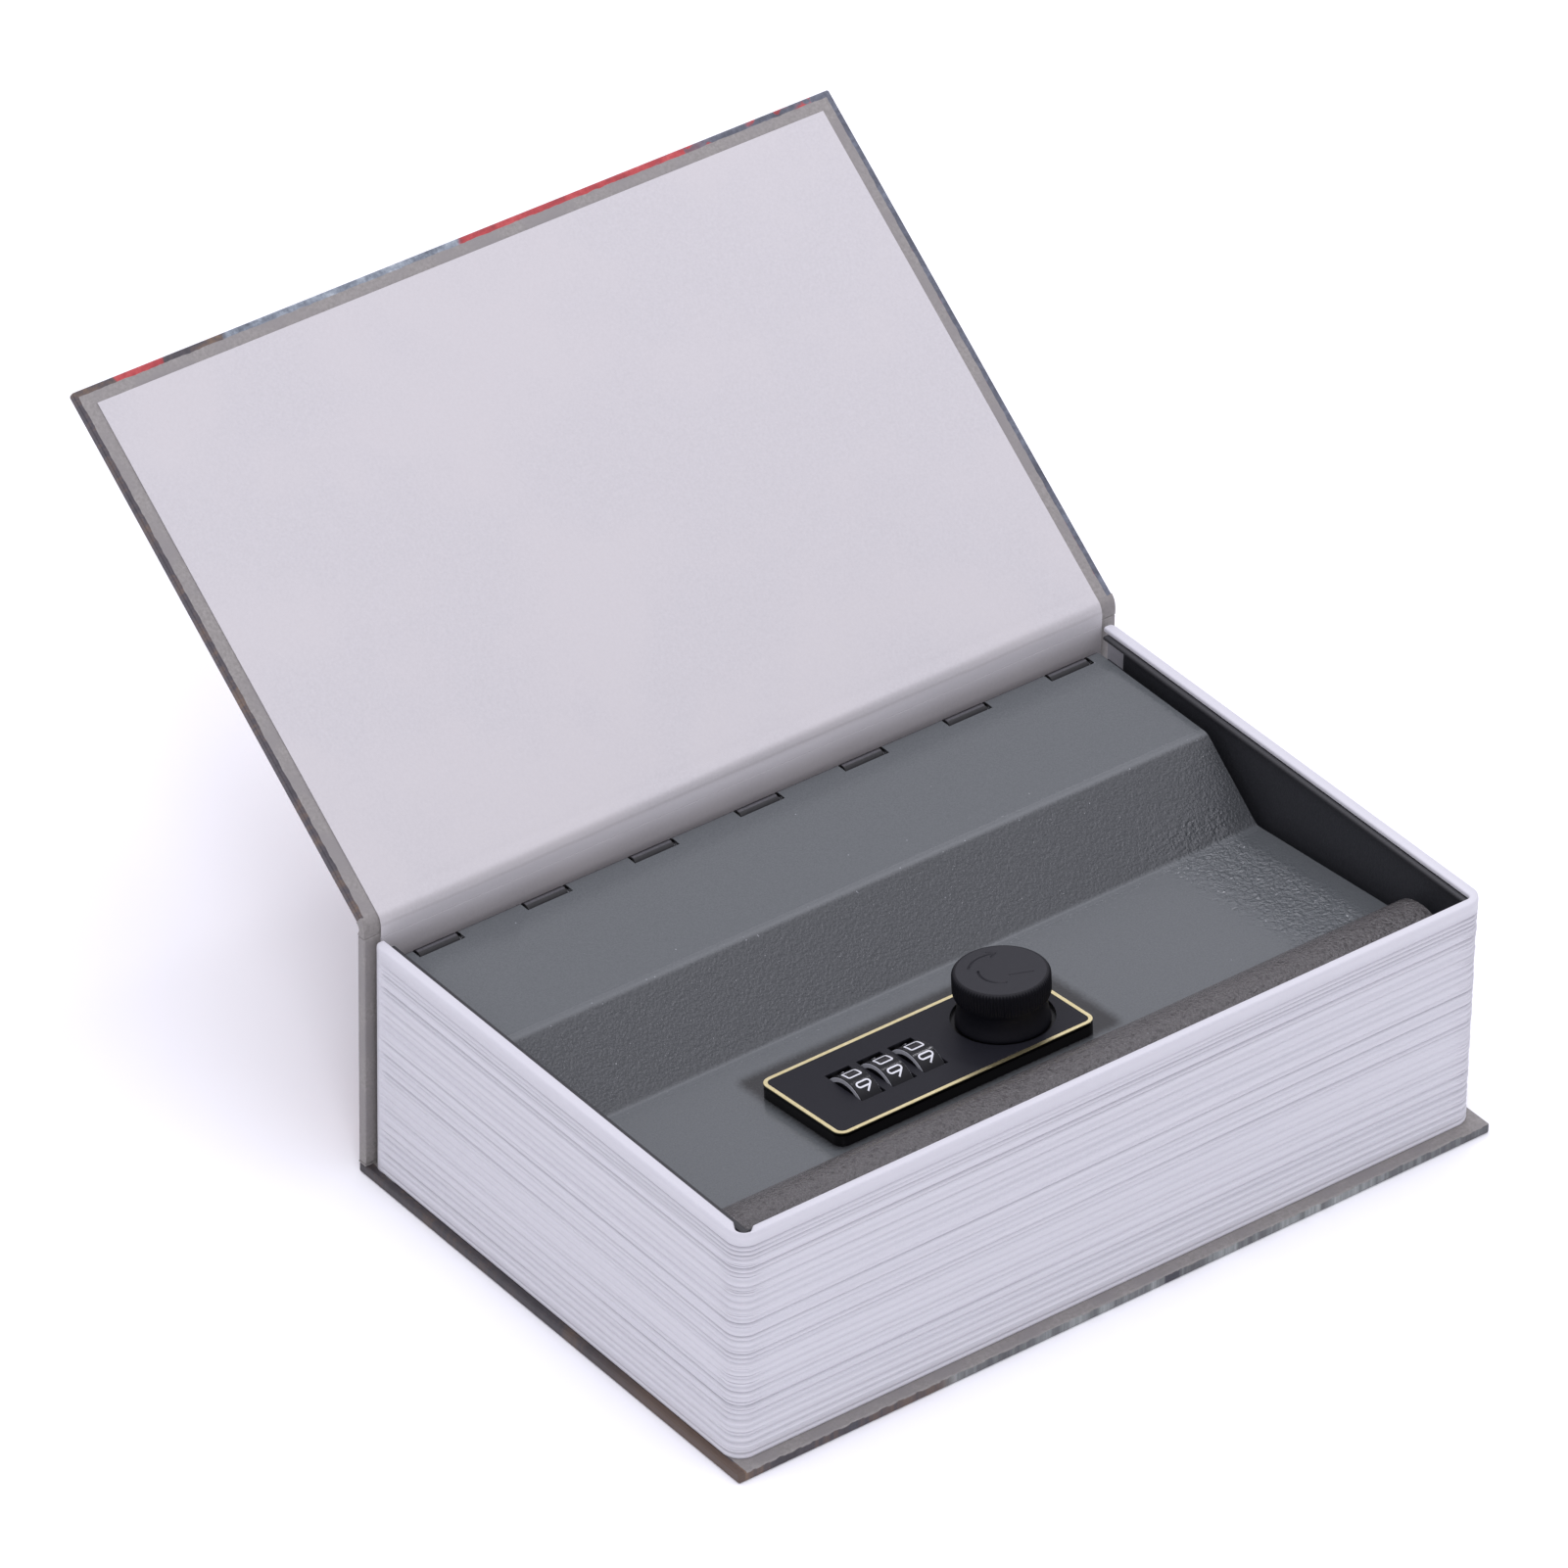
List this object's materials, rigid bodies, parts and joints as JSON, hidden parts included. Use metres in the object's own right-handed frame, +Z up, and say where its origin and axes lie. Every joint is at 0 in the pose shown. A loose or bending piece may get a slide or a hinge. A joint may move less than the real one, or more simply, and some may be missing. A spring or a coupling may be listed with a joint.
{
  "type": "book diversion safe",
  "caption": "Hollow book with a wrapped case, ridged false page edges, a steel tray, and a hinged steel lid with a code lock and a knob.",
  "frame": {"origin": "centre of the back board's underside", "axes": "+X along the spine, +Y from the fore-edge towards the spine, +Z up through the book"},
  "size_m": [0.18, 0.2101, 0.1281],
  "materials": {
    "cover_paper": "printed paper over board, satin",
    "turn_in": "taupe covering paper over board, matte",
    "endpaper": "pale, matte",
    "page_plastic": "ridged, satin",
    "foam": "matte",
    "tray_steel": "dark, satin",
    "lid_steel": "hammered grey",
    "steel": "zinc plated",
    "zinc": "die-cast, satin",
    "lock_black": "satin black",
    "gold": "bright",
    "wheel_black": "gloss",
    "knob_black": "satin"
  },
  "bodies": {
    "book": {"back_board": "cover_paper", "back_joint": "turn_in", "spine_board": "turn_in", "spine_lining": "endpaper", "front_joint": "turn_in", "endpaper_fold": "endpaper", "page_block": "page_plastic", "tray": "tray_steel", "tray_pad": "foam", "strike": "steel", "hinge_rod": "steel"},
    "cover": {"front_board": "cover_paper", "front_endpaper": "endpaper"},
    "lid": {"lid": "lid_steel", "lock_plate": "lock_black", "brass_trim": "gold", "lock_case": "zinc", "wheel_axle": "steel", "detent_spring": "steel", "fence_spring": "steel", "button_spring": "steel", "case_screw_1": "steel", "case_screw_2": "steel"},
    "wheel_1": {"number_wheel_1": "wheel_black", "code_sleeve_1": "zinc"},
    "wheel_2": {"number_wheel_2": "wheel_black", "code_sleeve_2": "zinc"},
    "wheel_3": {"number_wheel_3": "wheel_black", "code_sleeve_3": "zinc"},
    "knob": {"knob": "knob_black", "spindle": "zinc", "cam": "steel", "cam_washer": "steel", "cam_screw": "steel"},
    "fence": {"fence_bar": "zinc"},
    "code_button": {"code_button": "zinc"}
  },
  "joints": [
    {"name": "cover_hinge", "type": "hinge", "parent": "book", "child": "cover", "pos_m": [0, 0.05808, 0.0568], "axis": [-1, 0, 0], "range_deg": [-143.1, 36.9], "deforming": ["front_joint", "endpaper_fold"]},
    {"name": "lid_hinge", "type": "hinge", "parent": "book", "child": "lid", "pos_m": [0, 0.0538, 0.0488], "axis": [-1, 0, 0], "range_deg": [0, 92]},
    {"name": "wheel_1_turn", "type": "hinge", "parent": "lid", "child": "wheel_1", "pos_m": [-0.03345, -0.02038, 0.03803], "axis": [1, 0, 0], "continuous": true},
    {"name": "wheel_2_turn", "type": "hinge", "parent": "lid", "child": "wheel_2", "pos_m": [-0.0261, -0.02038, 0.03803], "axis": [1, 0, 0], "continuous": true},
    {"name": "wheel_3_turn", "type": "hinge", "parent": "lid", "child": "wheel_3", "pos_m": [-0.01875, -0.02038, 0.03803], "axis": [1, 0, 0], "continuous": true},
    {"name": "knob_turn", "type": "hinge", "parent": "lid", "child": "knob", "pos_m": [0.0015, -0.02018, 0.04012], "axis": [0, -0.0958, -0.9954], "range_deg": [0, 90]},
    {"name": "fence_slide", "type": "slide", "parent": "lid", "child": "fence", "axis": [0, -0.0958, -0.9954], "range_m": [0, 0.0008], "deforming": ["fence_spring"]},
    {"name": "code_button_press", "type": "slide", "parent": "lid", "child": "code_button", "axis": [0, 0.0958, 0.9954], "range_m": [0, 0.0012], "stiffness_N_per_m": 80, "springref_m": -0.002, "deforming": ["button_spring"]}
  ],
  "couplings": [
    {"joint": "fence_slide", "follows": "knob_turn", "m_per_rad": 0.000509}
  ]
}
